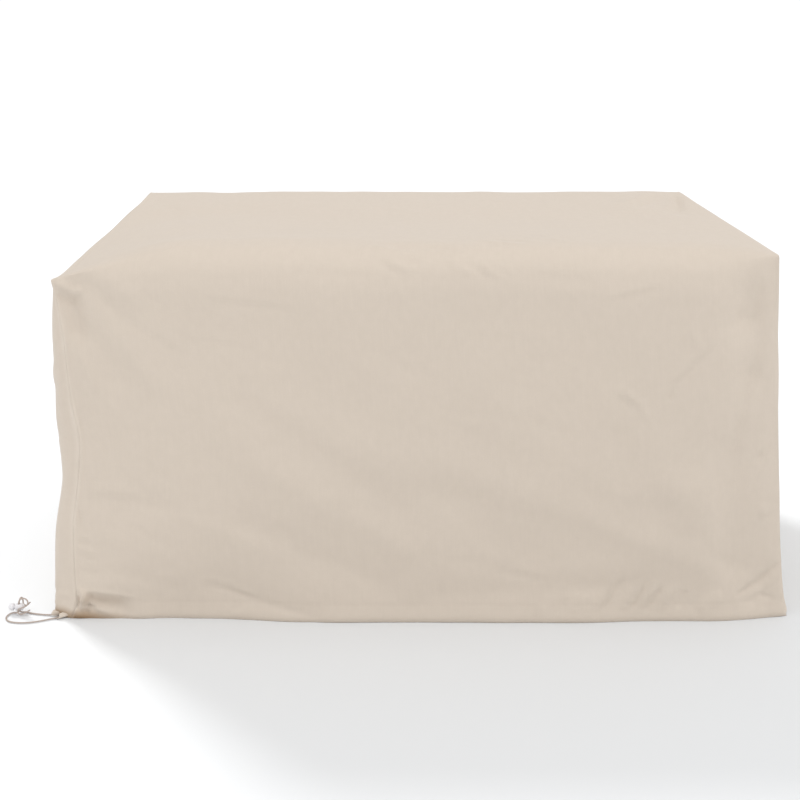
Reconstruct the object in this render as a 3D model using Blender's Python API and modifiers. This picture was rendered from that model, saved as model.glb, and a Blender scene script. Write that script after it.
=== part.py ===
"""A fitted outdoor cover for a two-seat sofa, as it hangs over the sofa with the sofa left out.

Three cloth panels are sewn together: a body panel that runs up the front, over the top and down the
back, and a slack panel at each side. A drawcord leaves the hem at the front left corner, and both of
its ends pass through a sprung cord lock.

Metres, +Z up. X runs along the sofa, Y into its depth, and the front faces -Y. The tables below give
heights from the floor; the origin is on the sofa's top, at its middle, just under the cloth.
"""

import math
from collections import namedtuple

import bmesh
import bpy
import numpy as np

# ---------------------------------------------------------------- driving dimensions

TOP_HEIGHT = 0.820          # floor to the sofa's top at its middle, where the origin is
CLOTH = 0.002               # thickness of the coated cloth
SEAM_SHIFT = 0.00165        # a side panel's edges lie this far outside the body panel's
SIDE_REACH = 0.018          # how far behind its front seam a side panel has swelled out
FOLD_EDGE = 0.045           # folds die away over this distance from a seam

CORD = 0.003                # drawcord diameter
CORD_STEP = 0.0038          # spacing of the points along a strand
STRAND_GAP = 0.0003         # between the two strands where they lie side by side

LOCK_X = -0.8575            # cross hole of the cord lock
LOCK_Y = -0.3865
LOCK_Z = 0.0145             # axis of barrel and plunger above the floor
BARREL_RADIUS = 0.0075
BARREL_LEFT = -0.8640       # open end, where the plunger goes in
BARREL_RIGHT = -0.8470
BARREL_WALL = 0.0020
BORE_CLEARANCE = 0.0003
STEM_RADIUS = 0.0048
STEM_RIGHT = -0.8530
BUTTON_RADIUS = 0.0078
BUTTON_LEFT = -0.8800
BUTTON_RIGHT = -0.8680
PRESS_TRAVEL = 0.0035       # how far the button goes in
HOLE_CLEARANCE = 0.0005     # around the strands in the cross hole
HOLE_CORNER = 0.00135       # rounding of the cross hole's corners
TURNED_STEPS = 28           # sides of the turned pieces

BODY_COLUMNS = 44           # cloth grid, from left to right
SIDE_COLUMNS = 16           # cloth grid of a side, from front to back
SIDE_ROWS = 17
SEAM_CROWDING = 0.35        # share of the columns' spacing that narrows towards the seams
SIDE_CROWDING = 1.7         # power by which a side's columns crowd towards its front seam
BACK_FADE = 5               # powers by which a side's swelling ends at its back and top seams
TOP_FADE = 7
ROUTE_SAMPLES = 2000        # points read along a strand's route before they are spaced evenly

# ---------------------------------------------------------------- tables

# The body panel's run, from the front hem over the top to the back hem. Left and right are its two
# seams, mid is its middle line; steps is the number of grid rows up to that section.
Section = namedtuple("Section", "name steps left_x left_y left_z mid_y mid_z right_x right_y right_z")
SECTIONS = [
    Section("front hem",      0, -0.734, -0.409, 0.000, -0.430, 0.000, 0.804, -0.397, 0.000),
    Section("hem channel",    2, -0.722, -0.407, 0.040, -0.428, 0.040, 0.795, -0.397, 0.040),
    Section("front foot",     2, -0.726, -0.403, 0.112, -0.424, 0.112, 0.788, -0.394, 0.112),
    Section("front shin",     2, -0.725, -0.401, 0.200, -0.421, 0.200, 0.782, -0.392, 0.200),
    Section("front knee",     2, -0.712, -0.400, 0.300, -0.419, 0.300, 0.776, -0.391, 0.300),
    Section("front waist",    2, -0.705, -0.400, 0.385, -0.417, 0.385, 0.771, -0.391, 0.385),
    Section("front chest",    2, -0.719, -0.402, 0.485, -0.415, 0.485, 0.765, -0.392, 0.485),
    Section("front high",     3, -0.727, -0.406, 0.605, -0.413, 0.600, 0.758, -0.395, 0.605),
    Section("shoulder",       3, -0.738, -0.411, 0.698, -0.412, 0.704, 0.754, -0.398, 0.718),
    Section("under the roll", 2, -0.742, -0.414, 0.720, -0.405, 0.751, 0.753, -0.397, 0.757),
    Section("brow",           2, -0.745, -0.418, 0.738, -0.388, 0.781, 0.752, -0.396, 0.785),
    Section("over the roll",  2, -0.741, -0.394, 0.742, -0.360, 0.799, 0.751, -0.374, 0.788),
    Section("top front",      2, -0.737, -0.362, 0.748, -0.318, 0.806, 0.750, -0.348, 0.790),
    Section("top forward",    2, -0.732, -0.190, 0.769, -0.150, 0.812, 0.751, -0.180, 0.801),
    Section("top middle",     3, -0.721, 0.015, 0.794, 0.020, 0.821, 0.749, 0.015, 0.815),
    Section("top rear",       3, -0.714, 0.240, 0.828, 0.240, 0.837, 0.743, 0.240, 0.834),
    Section("back brow",      3, -0.718, 0.400, 0.845, 0.392, 0.848, 0.739, 0.398, 0.847),
    Section("back shoulder",  2, -0.730, 0.426, 0.800, 0.428, 0.808, 0.738, 0.425, 0.806),
    Section("back high",      3, -0.744, 0.425, 0.640, 0.434, 0.640, 0.742, 0.423, 0.640),
    Section("back waist",     4, -0.753, 0.426, 0.400, 0.437, 0.400, 0.752, 0.424, 0.400),
    Section("back foot",      4, -0.763, 0.430, 0.160, 0.441, 0.160, 0.764, 0.428, 0.160),
    Section("back hem",       3, -0.768, 0.434, 0.000, 0.445, 0.000, 0.770, 0.432, 0.000),
]
LEFT_REACH = 0.290          # the left seam's own line shapes the body panel as far as this
RIGHT_REACH = 0.170

# How far out each side panel swells, at a height above the floor.
SideBulge = namedtuple("SideBulge", "height left_out right_out")
SIDE_BULGES = [
    SideBulge(0.00, 0.785, 0.807),
    SideBulge(0.08, 0.790, 0.801),
    SideBulge(0.16, 0.783, 0.794),
    SideBulge(0.27, 0.765, 0.787),
    SideBulge(0.32, 0.761, 0.784),
    SideBulge(0.37, 0.766, 0.781),
    SideBulge(0.43, 0.772, 0.777),
    SideBulge(0.52, 0.771, 0.772),
    SideBulge(0.62, 0.768, 0.766),
    SideBulge(0.72, 0.758, 0.760),
    SideBulge(0.85, 0.740, 0.751),
]

# Folds: soft troughs (height below 0) and ridges along a line from a to b. On the front and back the
# line is given as x and height, on the top as x and depth y, and on a side as y and height.
Fold = namedtuple("Fold", "face name a_u a_v b_u b_v width height")
FOLDS = [
    Fold("front", "hollow under the left corner",   -0.717, 0.698, -0.697, 0.645, 0.026, -0.014),
    Fold("front", "crease from the left corner",    -0.680, 0.722, -0.590, 0.655, 0.026, -0.007),
    Fold("front", "trough beside the left seam",    -0.660, 0.612, -0.618, 0.520, 0.030, -0.006),
    Fold("front", "ridge beside that trough",       -0.592, 0.610, -0.545, 0.535, 0.036, 0.004),
    Fold("front", "arc at the left knee",           -0.690, 0.258, -0.540, 0.252, 0.028, -0.004),
    Fold("front", "upper centre trough",            -0.250, 0.385, -0.050, 0.270, 0.044, -0.006),
    Fold("front", "upper centre ridge",             -0.030, 0.378, 0.090, 0.335, 0.054, 0.005),
    Fold("front", "ridge right of centre",           0.125, 0.355, 0.255, 0.265, 0.048, 0.005),
    Fold("front", "lower centre trough",            -0.300, 0.251, 0.034, 0.087, 0.042, -0.006),
    Fold("front", "lower centre ridge",             -0.230, 0.318, 0.060, 0.165, 0.044, 0.004),
    Fold("front", "swelling at the right",           0.500, 0.292, 0.600, 0.286, 0.060, 0.008),
    Fold("front", "lower right ridge",               0.372, 0.232, 0.540, 0.134, 0.038, 0.006),
    Fold("front", "lowest right ridge",              0.510, 0.170, 0.640, 0.095, 0.032, 0.004),
    Fold("front", "crease beside the right edge",    0.705, 0.500, 0.676, 0.395, 0.024, -0.009),
    Fold("front", "trough beside the right edge",    0.684, 0.390, 0.694, 0.110, 0.038, -0.011),
    Fold("front", "hollow under the right corner",   0.700, 0.676, 0.690, 0.642, 0.040, -0.015),
    Fold("front", "diagonal at the right foot",      0.726, 0.050, 0.774, 0.100, 0.022, -0.007),
    Fold("front", "wedge at the hem",               -0.430, 0.074, -0.220, 0.013, 0.026, -0.006),
    Fold("front", "gathered hollow at the cord",    -0.708, 0.052, -0.645, 0.048, 0.018, -0.014),
    Fold("front", "gathered hem at the right",       0.380, 0.060, 0.540, 0.050, 0.030, 0.005),
    Fold("front", "hem drawn back at the left",     -0.500, 0.000, -0.440, 0.000, 0.130, -0.021),
    Fold("front", "hem drawn back at the right",     0.540, 0.000, 0.700, 0.000, 0.130, -0.007),
    Fold("top", "left shoulder ridge",              -0.560, -0.330, -0.140, -0.290, 0.050, 0.004),
    Fold("top", "pinch at the middle of the roll",  -0.030, -0.362, 0.060, -0.378, 0.026, -0.005),
    Fold("top", "crease to the back right corner",   0.712, 0.330, 0.660, 0.080, 0.030, -0.005),
    Fold("top", "fan beside that crease",            0.600, 0.300, 0.560, 0.120, 0.045, 0.004),
    Fold("top", "sag over the seat",                -0.300, -0.020, 0.300, 0.000, 0.160, -0.006),
    Fold("top", "sag at the left",                  -0.600, 0.060, -0.450, 0.100, 0.100, -0.007),
    Fold("back", "left fall",                       -0.560, 0.620, -0.420, 0.150, 0.060, -0.008),
    Fold("back", "middle fall",                     -0.120, 0.560, 0.040, 0.120, 0.065, 0.008),
    Fold("back", "right fall",                       0.360, 0.650, 0.480, 0.220, 0.055, -0.008),
    Fold("back", "corner drape",                     0.640, 0.700, 0.600, 0.480, 0.045, 0.007),
    Fold("left", "fall behind the front seam",      -0.230, 0.600, -0.200, 0.150, 0.045, -0.009),
    Fold("left", "middle fall",                      0.020, 0.560, 0.060, 0.060, 0.050, 0.009),
    Fold("left", "rear fall",                        0.260, 0.640, 0.230, 0.240, 0.050, -0.008),
    Fold("right", "fall behind the front seam",     -0.210, 0.560, -0.240, 0.120, 0.045, -0.008),
    Fold("right", "middle fall",                     0.040, 0.640, 0.000, 0.200, 0.050, 0.009),
    Fold("right", "rear fall",                       0.280, 0.520, 0.260, 0.060, 0.050, -0.008),
]
FACE_AXES = {               # outward direction, and which coordinates a fold's line is given in
    "front": ((0, -1, 0), 0, 2),
    "back": ((0, 1, 0), 0, 2),
    "top": ((0, 0, 1), 0, 1),
    "left": ((-1, 0, 0), 1, 2),
    "right": ((1, 0, 0), 1, 2),
}

# The strands' routes by hand: x, y and height above the floor. Each goes from the hem along the
# floor, up through the cord lock's cross hole, and on to its free end.
BACK_Y = LOCK_Y + (CORD + STRAND_GAP) / 2
FRONT_Y = LOCK_Y - (CORD + STRAND_GAP) / 2
LYING_Z = 0.0017            # a strand's middle where it lies on the floor
DRAWCORD_BACK = [
    (-0.7650, -0.3975, 0.0060), (-0.7730, -0.3985, 0.0040), (-0.7830, -0.3988, 0.0023),
    (-0.7980, -0.3975, LYING_Z), (-0.8150, -0.3945, LYING_Z), (-0.8320, -0.3895, LYING_Z),
    (-0.8440, BACK_Y, LYING_Z), (-0.8515, BACK_Y, LYING_Z), (-0.8545, BACK_Y, 0.0024),
    (-0.8567, BACK_Y, 0.0046), (LOCK_X, BACK_Y, 0.0077), (LOCK_X, BACK_Y, 0.0100),
    (LOCK_X, BACK_Y, 0.0190), (LOCK_X, BACK_Y, 0.0220), (-0.8572, -0.3836, 0.0272),
    (-0.8562, -0.3796, 0.0306), (-0.8552, -0.3745, 0.0303), (-0.8545, -0.3712, 0.0262),
    (-0.8541, -0.3700, 0.0210), (-0.8540, -0.3700, 0.0165), (-0.8522, -0.3703, 0.0121),
    (-0.8480, -0.3710, 0.0102), (-0.8436, -0.3722, 0.0121), (-0.8397, -0.3740, 0.0163),
    (-0.8362, -0.3758, 0.0202),
]
DRAWCORD_FRONT = [
    (-0.7520, -0.4065, 0.0060), (-0.7600, -0.4095, 0.0036), (-0.7700, -0.4130, 0.0020),
    (-0.7830, -0.4185, LYING_Z), (-0.7990, -0.4260, LYING_Z), (-0.8180, -0.4325, LYING_Z),
    (-0.8380, -0.4345, LYING_Z), (-0.8560, -0.4320, LYING_Z), (-0.8700, -0.4245, LYING_Z),
    (-0.8770, -0.4125, LYING_Z), (-0.8775, -0.4000, LYING_Z), (-0.8735, -0.3915, LYING_Z),
    (-0.8690, FRONT_Y, LYING_Z), (-0.8635, FRONT_Y, LYING_Z), (-0.8605, FRONT_Y, 0.0024),
    (-0.8583, FRONT_Y, 0.0046), (LOCK_X, FRONT_Y, 0.0077), (LOCK_X, FRONT_Y, 0.0100),
    (LOCK_X, FRONT_Y, 0.0190), (LOCK_X, FRONT_Y, 0.0220), (-0.8562, -0.3884, 0.0280),
    (-0.8516, -0.3892, 0.0334), (-0.8450, -0.3905, 0.0355), (-0.8385, -0.3925, 0.0335),
    (-0.8350, -0.3948, 0.0280), (-0.8372, -0.3966, 0.0222), (-0.8440, -0.3978, 0.0187),
    (-0.8500, -0.3984, 0.0163), (-0.8545, -0.3988, 0.0144), (-0.8563, -0.3990, 0.0100),
    (-0.8545, -0.3992, 0.0056), (-0.8500, -0.3992, 0.0037), (-0.8420, -0.3985, 0.0058),
    (-0.8300, -0.3965, 0.0122),
]

CLOTH_COLOUR = (0.60, 0.52, 0.43)
CORD_COLOUR = (0.42, 0.34, 0.27)
LOCK_COLOUR = (0.80, 0.79, 0.80)


# ---------------------------------------------------------------- reading the tables

def column(table, name):
    """One named column of a table, as an array."""
    return np.array([getattr(row, name) for row in table], dtype=float)


def steady_slopes(places, values):
    """Slopes at the rows that never carry a curve past its own rows (harmonic means)."""
    steps = np.diff(values) / np.diff(places)
    same_way = steps[:-1] * steps[1:] > 0
    total = np.where(same_way, steps[:-1] + steps[1:], 1.0)
    middle = np.where(same_way, 2 * steps[:-1] * steps[1:] / total, 0.0)
    return np.concatenate(([steps[0]], middle, [steps[-1]]))


def smooth(places, values, at, slopes):
    """A smooth curve through values at places, read at the points of at (cubic Hermite)."""
    i = np.clip(np.searchsorted(places, at, side="right") - 1, 0, len(places) - 2)
    span = places[i + 1] - places[i]
    t = np.clip((at - places[i]) / span, 0.0, 1.0)
    return ((1 + 2 * t) * (1 - t) ** 2 * values[i] + t * (1 - t) ** 2 * span * slopes[i]
            + t * t * (3 - 2 * t) * values[i + 1] + t * t * (t - 1) * span * slopes[i + 1])


def read_table(table, place_column, value_column, at):
    """One column of a table read as a smooth curve over another column."""
    places, values = column(table, place_column), column(table, value_column)
    return smooth(places, values, at, steady_slopes(places, values))


def section_places():
    """Distance of each section from the front hem, along the panel's middle line."""
    steps = np.hypot(np.diff(column(SECTIONS, "mid_y")), np.diff(column(SECTIONS, "mid_z")))
    return np.concatenate(([0.0], np.cumsum(steps)))


PLACES = section_places()
NAMES = [section.name for section in SECTIONS]
FRONT_CORNER = PLACES[NAMES.index("brow")]
BACK_CORNER = PLACES[NAMES.index("back brow")]


def run(name, at):
    """A column of the section table at a distance along the panel."""
    values = column(SECTIONS, name)
    return smooth(PLACES, values, at, steady_slopes(PLACES, values))


def seam(side, at):
    """A point of the left or right seam line at a distance along the panel."""
    return np.stack([run(side + "_x", at), run(side + "_y", at), run(side + "_z", at)], axis=-1)


# ---------------------------------------------------------------- cloth surfaces

def body_surface(across, along):
    """The body panel without folds; across runs 0 to 1 from the left seam to the right one."""
    left, right = seam("left", along), seam("right", along)
    width = right[..., 0] - left[..., 0]
    near_left = np.clip(1 - across * width / LEFT_REACH, 0, 1) ** 2
    near_right = np.clip(1 - (1 - across) * width / RIGHT_REACH, 0, 1) ** 2
    mid_y, mid_z = run("mid_y", along), run("mid_z", along)
    x = left[..., 0] + across * width
    y = mid_y + (left[..., 1] - mid_y) * near_left + (right[..., 1] - mid_y) * near_right
    z = mid_z + (left[..., 2] - mid_z) * near_left + (right[..., 2] - mid_z) * near_right
    return np.stack([x, y, z], axis=-1)


def side_surface(side, back, up):
    """A side panel without folds: stretched between its seams and the floor, then swelled out."""
    sign = -1.0 if side == "left" else 1.0
    front_edge = seam(side, up * FRONT_CORNER)
    back_edge = seam(side, PLACES[-1] + up * (BACK_CORNER - PLACES[-1]))
    top_edge = seam(side, FRONT_CORNER + back * (BACK_CORNER - FRONT_CORNER))
    corners = seam(side, np.array([0.0, PLACES[-1], FRONT_CORNER, BACK_CORNER]))
    q, t = back[..., None], up[..., None]
    hem = (1 - q) * corners[0] + q * corners[1]
    point = ((1 - q) * front_edge + q * back_edge + (1 - t) * hem + t * top_edge
             - (1 - q) * (1 - t) * corners[0] - q * (1 - t) * corners[1]
             - (1 - q) * t * corners[2] - q * t * corners[3])
    out = read_table(SIDE_BULGES, "height", side + "_out", point[..., 2])
    depth = corners[1][1] - corners[0][1]
    rise = (1 - np.exp(-back * depth / SIDE_REACH)) * (1 - back ** BACK_FADE) * (1 - up ** TOP_FADE)
    bulge = np.maximum(out - np.abs(point[..., 0]), 0.0) * rise
    point[..., 0] += sign * (bulge + SEAM_SHIFT)
    return point


def normals(surface, u, v):
    """Unit normals of a surface of two parameters, from its slopes."""
    step = 1e-4
    along_u = surface(u + step, v) - surface(u - step, v)
    along_v = surface(u, v + step) - surface(u, v - step)
    normal = np.cross(along_u, along_v)
    return normal / np.linalg.norm(normal, axis=-1, keepdims=True)


def fold_heights(points, outward, faces):
    """How far each point is pushed out by the folds of the named faces."""
    height = np.zeros(len(points))
    for fold in FOLDS:
        if fold.face not in faces:
            continue
        direction, u, v = FACE_AXES[fold.face]
        place = points[:, [u, v]] - (fold.a_u, fold.a_v)
        line = np.array([fold.b_u - fold.a_u, fold.b_v - fold.a_v])
        share = np.clip(place @ line / (line @ line), 0, 1)
        distance = np.linalg.norm(place - share[:, None] * line, axis=1)
        facing = np.clip(outward @ np.array(direction), 0, 1)
        height += fold.height * np.exp(-(distance / fold.width) ** 2) * facing
    return height


def draped(surface, u, v, edge_distance, faces):
    """Points of a surface with its folds; folds die away near the seams."""
    points = surface(u, v)
    outward = normals(surface, u, v)
    near = np.clip(edge_distance / FOLD_EDGE, 0, 1)
    keep = near * near * (3 - 2 * near)
    return points + outward * (fold_heights(points, outward, faces) * keep)[:, None]


# ---------------------------------------------------------------- scene helpers

def clear_scene():
    for thing in list(bpy.data.objects):
        bpy.data.objects.remove(thing, do_unlink=True)


def make_collection(name):
    collection = bpy.data.collections.new(name)
    bpy.context.scene.collection.children.link(collection)
    return collection


def make_material(name, colour, roughness):
    material = bpy.data.materials.new(name)
    material.use_nodes = True
    shader = material.node_tree.nodes["Principled BSDF"]
    shader.inputs["Base Color"].default_value = (*colour, 1.0)
    shader.inputs["Roughness"].default_value = roughness
    shader.inputs["Metallic"].default_value = 0.0
    return material


def add_object(name, data, collection, material=None):
    """Add an object whose own heights are from the floor, lowered into the cover's frame."""
    thing = bpy.data.objects.new(name, data)
    collection.objects.link(thing)
    thing.location.z = -TOP_HEIGHT
    if material:
        data.materials.append(material)
    return thing


# ---------------------------------------------------------------- cloth panels

def cloth_panel(name, columns, rows, shape, flip, collection, material):
    """A grid bent to shape, which takes its column and row shares and gives points."""
    mesh = bpy.data.meshes.new(name)
    grid = bmesh.new()
    bmesh.ops.create_grid(grid, x_segments=columns, y_segments=rows, size=1.0)
    shares = np.array([(vert.co.x, vert.co.y) for vert in grid.verts]) / 2 + 0.5
    for vert, point in zip(grid.verts, shape(shares[:, 0], shares[:, 1])):
        vert.co = point
    if flip:
        bmesh.ops.reverse_faces(grid, faces=grid.faces)
    grid.to_mesh(mesh)
    grid.free()
    mesh.shade_smooth()
    panel = add_object(name, mesh, collection, material)
    solid = panel.modifiers.new("Cloth thickness", "SOLIDIFY")
    solid.thickness = CLOTH
    solid.offset = 0.0
    return panel


def make_body_panel(collection, material):
    rows = int(column(SECTIONS, "steps").sum())
    row_of_section = np.cumsum(column(SECTIONS, "steps"))

    def shape(column_share, row_share):
        # columns crowd towards the seams, rows follow the sections' steps
        crowded = 0.5 - 0.5 * np.cos(np.pi * column_share)
        across = (1 - SEAM_CROWDING) * column_share + SEAM_CROWDING * crowded
        along = np.interp(row_share * rows, row_of_section, PLACES)
        width = run("right_x", along) - run("left_x", along)
        edge_distance = np.minimum(across, 1 - across) * width
        return draped(body_surface, across, along, edge_distance, ("front", "top", "back"))

    return cloth_panel("body_panel", BODY_COLUMNS, rows, shape, False, collection, material)


def make_side_panel(side, collection, material):
    depth = SECTIONS[-1].left_y - SECTIONS[0].left_y

    def surface(back, up):
        return side_surface(side, back, up)

    def shape(column_share, row_share):
        # columns crowd towards the front seam, where the panel turns outwards
        back = column_share ** SIDE_CROWDING
        edge_distance = np.minimum(np.minimum(back, 1 - back) * depth, (1 - row_share) * TOP_HEIGHT)
        return draped(surface, back, row_share, edge_distance, (side,))

    flip = side == "left"
    return cloth_panel("side_panel_" + side, SIDE_COLUMNS, SIDE_ROWS, shape, flip, collection, material)


# ---------------------------------------------------------------- drawcord

def smooth_route(route):
    """Evenly spaced points along a smooth curve through a route's own points."""
    route = np.array(route)
    places = np.concatenate(([0.0], np.cumsum(np.linalg.norm(np.diff(route, axis=0), axis=1))))
    fine = np.linspace(0, places[-1], ROUTE_SAMPLES)
    curve = np.stack([smooth(places, values, fine, np.gradient(values, places)) for values in route.T],
                     axis=1)
    length = np.concatenate(([0.0], np.cumsum(np.linalg.norm(np.diff(curve, axis=0), axis=1))))
    spots = np.linspace(0, length[-1], round(length[-1] / CORD_STEP) + 1)
    return np.stack([np.interp(spots, length, curve[:, axis]) for axis in range(3)], axis=1)


def make_strand(name, route, collection, material):
    points = smooth_route(route)
    curve = bpy.data.curves.new(name, "CURVE")
    curve.dimensions = "3D"
    curve.bevel_depth = CORD / 2
    curve.bevel_resolution = 2
    curve.use_fill_caps = True
    spline = curve.splines.new("POLY")
    spline.points.add(len(points) - 1)
    for spot, point in zip(spline.points, points):
        spot.co = (*point, 1.0)
    return add_object(name, curve, collection, material)


# ---------------------------------------------------------------- cord lock

def turned_piece(name, profile, collection, material):
    """A profile of (distance along the axis, radius) turned about the lock's axis, along X."""
    mesh = bpy.data.meshes.new(name)
    outline = bmesh.new()
    verts = [outline.verts.new((radius, 0, LOCK_X - place)) for place, radius in profile]
    for first, second in zip(verts, verts[1:]):
        outline.edges.new((first, second))
    outline.to_mesh(mesh)
    outline.free()
    piece = add_object(name, mesh, collection, material)
    # the profile's own Z points along -X, so the open end is up while it is turned
    piece.rotation_euler = (0, -math.pi / 2, 0)
    piece.location = (LOCK_X, LOCK_Y, LOCK_Z - TOP_HEIGHT)
    screw = piece.modifiers.new("Turned", "SCREW")
    screw.axis = "Z"
    screw.steps = TURNED_STEPS
    screw.render_steps = TURNED_STEPS
    screw.use_merge_vertices = True
    screw.merge_threshold = 0.00001
    screw.use_smooth_shade = True
    return piece


def cut_cross_hole(piece, left, right, cutters):
    """Cut an upright slot for both strands between two places along X."""
    width = 2 * CORD + STRAND_GAP + 2 * HOLE_CLEARANCE
    mesh = bpy.data.meshes.new(piece.name + "_slot")
    block = bmesh.new()
    bmesh.ops.create_cube(block, size=1.0)
    bmesh.ops.scale(block, verts=block.verts, vec=(right - left, width, 4 * BARREL_RADIUS))
    upright = [edge for edge in block.edges if abs(edge.verts[0].co.z - edge.verts[1].co.z) > CORD]
    bmesh.ops.bevel(block, geom=upright, offset=HOLE_CORNER, segments=3, profile=0.5, affect="EDGES")
    block.to_mesh(mesh)
    block.free()
    cutter = add_object(mesh.name, mesh, cutters)
    cutter.location = ((left + right) / 2, LOCK_Y, LOCK_Z - TOP_HEIGHT)
    cutter.hide_render = True
    cutter.display_type = "WIRE"
    cut = piece.modifiers.new("Cross hole", "BOOLEAN")
    cut.operation = "DIFFERENCE"
    cut.solver = "EXACT"
    cut.object = cutter


def make_barrel(collection, cutters, material):
    """The barrel: rounded at its closed right end, and bored from the left."""
    bore = STEM_RADIUS + BORE_CLEARANCE
    edge = BARREL_RADIUS / 9
    profile = [
        (BARREL_RIGHT, 0.0), (BARREL_RIGHT, BARREL_RADIUS * 0.62),
        (BARREL_RIGHT - 0.0012, BARREL_RADIUS * 0.86), (BARREL_RIGHT - 0.0032, BARREL_RADIUS),
        (BARREL_LEFT + edge, BARREL_RADIUS), (BARREL_LEFT, BARREL_RADIUS - edge),
        (BARREL_LEFT, bore), (BARREL_RIGHT - BARREL_WALL, bore), (BARREL_RIGHT - BARREL_WALL, 0.0),
    ]
    barrel = turned_piece("cord_lock_barrel", profile, collection, material)
    half_hole = CORD / 2 + HOLE_CLEARANCE
    cut_cross_hole(barrel, LOCK_X - half_hole, LOCK_X + half_hole, cutters)
    return barrel


def make_plunger(collection, cutters, material):
    """The plunger: a domed button on a stem, with a slot long enough for its travel."""
    waist = STEM_RADIUS * 0.82
    profile = [
        (STEM_RIGHT, 0.0), (STEM_RIGHT, STEM_RADIUS - 0.0005), (STEM_RIGHT - 0.0005, STEM_RADIUS),
        (BARREL_LEFT - 0.0002, STEM_RADIUS), (BARREL_LEFT - 0.0010, waist),
        (BUTTON_RIGHT + 0.0004, waist), (BUTTON_RIGHT, BUTTON_RADIUS * 0.80),
        (BUTTON_RIGHT - 0.0012, BUTTON_RADIUS), (BUTTON_RIGHT - 0.0060, BUTTON_RADIUS),
        (BUTTON_LEFT + 0.0030, BUTTON_RADIUS * 0.88), (BUTTON_LEFT + 0.0010, BUTTON_RADIUS * 0.60),
        (BUTTON_LEFT, BUTTON_RADIUS * 0.25), (BUTTON_LEFT, 0.0),
    ]
    plunger = turned_piece("cord_lock_plunger", profile, collection, material)
    half_hole = CORD / 2 + HOLE_CLEARANCE
    cut_cross_hole(plunger, LOCK_X - half_hole - PRESS_TRAVEL, LOCK_X + half_hole, cutters)
    return plunger


# ---------------------------------------------------------------- the cover

def main():
    clear_scene()
    cover = make_collection("sofa_cover")
    cutters = make_collection("cutters")
    cloth = make_material("coated_cloth", CLOTH_COLOUR, 0.75)
    cord = make_material("cord", CORD_COLOUR, 0.80)
    plastic = make_material("lock_plastic", LOCK_COLOUR, 0.35)
    make_body_panel(cover, cloth)
    make_side_panel("left", cover, cloth)
    make_side_panel("right", cover, cloth)
    make_strand("drawcord_back", DRAWCORD_BACK, cover, cord)
    make_strand("drawcord_front", DRAWCORD_FRONT, cover, cord)
    make_barrel(cover, cutters, plastic)
    make_plunger(cover, cutters, plastic)


main()
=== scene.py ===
import math

import bpy
import numpy as np
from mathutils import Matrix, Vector


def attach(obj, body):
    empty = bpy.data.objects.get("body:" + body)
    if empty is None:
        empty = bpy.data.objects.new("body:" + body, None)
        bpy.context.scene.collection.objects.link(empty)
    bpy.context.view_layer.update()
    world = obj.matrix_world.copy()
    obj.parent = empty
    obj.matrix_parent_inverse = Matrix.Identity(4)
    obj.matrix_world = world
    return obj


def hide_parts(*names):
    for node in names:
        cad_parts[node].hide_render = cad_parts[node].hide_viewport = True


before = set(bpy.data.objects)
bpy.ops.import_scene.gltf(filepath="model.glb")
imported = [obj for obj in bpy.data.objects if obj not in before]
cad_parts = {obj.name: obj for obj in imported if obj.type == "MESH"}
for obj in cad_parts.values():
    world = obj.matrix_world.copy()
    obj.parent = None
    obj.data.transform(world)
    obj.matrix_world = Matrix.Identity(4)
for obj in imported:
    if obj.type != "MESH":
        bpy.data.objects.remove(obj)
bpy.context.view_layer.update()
print("frame loaded:", ", ".join(sorted(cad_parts)))

floorToTop = 0.820      # the origin, just under the cover's top, is this far above the floor
millimetre = 0.001


# Smooth curve through the rows of a table: cubic Hermite, with the harmonic mean of the two
# neighbouring slopes at each row, and a level slope where they change sign.
def curveThrough(places, values, at):
    steps = np.diff(values) / np.diff(places)
    sameWay = steps[:-1] * steps[1:] > 0
    total = np.where(sameWay, steps[:-1] + steps[1:], 1.0)
    harmonic = np.where(sameWay, 2 * steps[:-1] * steps[1:] / total, 0.0)
    slopes = np.concatenate(([steps[0]], harmonic, [steps[-1]]))
    return hermite(places, values, slopes, at)


# Cubic Hermite: (1 + 2t)(1 - t)^2 a + t^2 (3 - 2t) b, and the two slopes' parts.
def hermite(places, values, slopes, at):
    i = np.clip(np.searchsorted(places, at, side="right") - 1, 0, len(places) - 2)
    span = places[i + 1] - places[i]
    t = np.clip((at - places[i]) / span, 0.0, 1.0)
    return ((1 + 2 * t) * (1 - t) ** 2 * values[i] + t * (1 - t) ** 2 * span * slopes[i]
            + t * t * (3 - 2 * t) * values[i + 1] + t * t * (t - 1) * span * slopes[i + 1])


# Smooth step: 0 below low, 1 above high, and 3t^2 - 2t^3 between.
def softStep(value, low, high):
    t = np.clip((value - low) / (high - low), 0, 1)
    return t * t * (3 - 2 * t)


# A socket wrapped so that + - * on it add Math nodes, also with a number first, as in 1 - mask.
class Value:
    def __init__(self, graph, socket):
        self.graph = graph
        self.socket = socket

    def __add__(self, other):
        return self.graph.maths("ADD", self, other)

    def __radd__(self, other):
        return self.graph.maths("ADD", other, self)

    def __sub__(self, other):
        return self.graph.maths("SUBTRACT", self, other)

    def __rsub__(self, other):
        return self.graph.maths("SUBTRACT", other, self)

    def __mul__(self, other):
        return self.graph.maths("MULTIPLY", self, other)

    def __rmul__(self, other):
        return self.graph.maths("MULTIPLY", other, self)


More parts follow.
